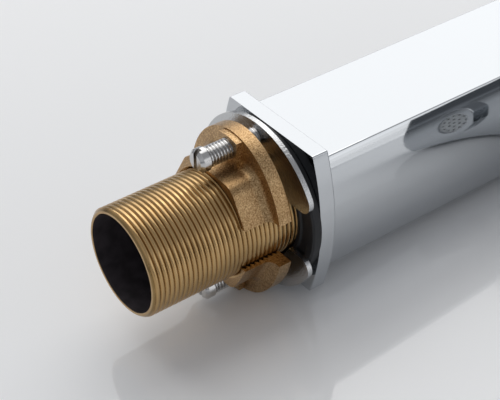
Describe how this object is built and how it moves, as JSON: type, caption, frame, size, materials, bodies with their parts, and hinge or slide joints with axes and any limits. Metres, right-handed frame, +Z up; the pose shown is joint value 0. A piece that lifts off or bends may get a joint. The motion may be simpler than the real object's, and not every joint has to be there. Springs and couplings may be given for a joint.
{
  "type": "basin mixer tap",
  "caption": "Single-lever basin mixer tap with a bow-faced square column, a slab spout, a threaded shank and a C-shaped backnut with clamp screws.",
  "frame": {"origin": "on the threaded shank's axis, at the underside of the metal foot plate", "axes": "+Z up the column, -Y towards the spout and lever, X across the tap; the shank points to -Z"},
  "size_m": [0.0532, 0.1343, 0.216],
  "materials": {
    "chrome_plate": "mirror-bright chromium plate on brass",
    "shank_brass": "machined, plain yellow brass with a satin thread",
    "cast_brass": "sand-cast, dull and granular",
    "stainless_steel": "bright rolled stainless sheet",
    "zinc_steel": "bright zinc plate on steel",
    "black_rubber": "smooth black EPDM",
    "cartridge_plastic": "glass-filled nylon, off-white",
    "white_ceramic": "lapped alumina ceramic",
    "index_plastic": "half red, half blue moulded plug",
    "mesh_steel": "fine stainless mesh",
    "aerator_plastic": "moulded acetal, grey"
  },
  "bodies": {
    "body": {"body": "chrome_plate", "foot_plate": "chrome_plate", "shank": "shank_brass", "base_gasket": "black_rubber", "cartridge_base": "cartridge_plastic", "port_seals": "black_rubber", "disc_seals": "black_rubber", "fixed_disc": "white_ceramic", "cartridge_housing": "cartridge_plastic", "retaining_nut": "shank_brass", "dome_cap": "chrome_plate", "cap_ring": "black_rubber", "aerator_housing": "chrome_plate", "aerator_insert": "aerator_plastic", "aerator_screen": "mesh_steel", "aerator_washer": "black_rubber"},
    "turner": {"turner": "cartridge_plastic", "turner_ring": "black_rubber", "pivot_pin": "stainless_steel"},
    "disc": {"moving_disc": "white_ceramic", "disc_carrier": "cartridge_plastic"},
    "lever": {"lever": "chrome_plate", "stem": "stainless_steel", "lever_screw": "stainless_steel", "index_plug": "index_plastic"},
    "washer": {"clamp_washer": "stainless_steel"},
    "nut": {"clamp_nut": "cast_brass"},
    "screw_left": {"clamp_screw_left": "zinc_steel"},
    "screw_right": {"clamp_screw_right": "zinc_steel"}
  },
  "joints": [
    {"name": "lever_turn", "type": "hinge", "parent": "body", "child": "turner", "pos_m": [0, 0, 0.135], "axis": [0, 0, 1], "range_deg": [-45, 45]},
    {"name": "lever_tilt", "type": "hinge", "parent": "turner", "child": "lever", "pos_m": [0, 0, 0.135], "axis": [-1, 0, 0], "range_deg": [0, 25]},
    {"name": "disc_shift", "type": "slide", "parent": "turner", "child": "disc", "axis": [0, -1, 0], "range_m": [0, 0.00294]},
    {"name": "washer_drop", "type": "slide", "parent": "body", "child": "washer", "axis": [0, 0, -1], "range_m": [0, 0.024]},
    {"name": "nut_spin", "type": "hinge", "parent": "washer", "child": "nut", "pos_m": [0, 0, -0.012], "axis": [0, 0, -1], "range_deg": [0, 5760]},
    {"name": "clamp_screw_left_slide", "type": "slide", "parent": "nut", "child": "screw_left", "axis": [0, 0, -1], "range_m": [0, 0.008]},
    {"name": "clamp_screw_right_slide", "type": "slide", "parent": "nut", "child": "screw_right", "axis": [0, 0, -1], "range_m": [0, 0.008]}
  ],
  "couplings": [
    {"joint": "disc_shift", "follows": "lever_tilt", "m_per_rad": 0.0067462},
    {"joint": "washer_drop", "follows": "nut_spin", "m_per_rad": 0.00023873}
  ]
}
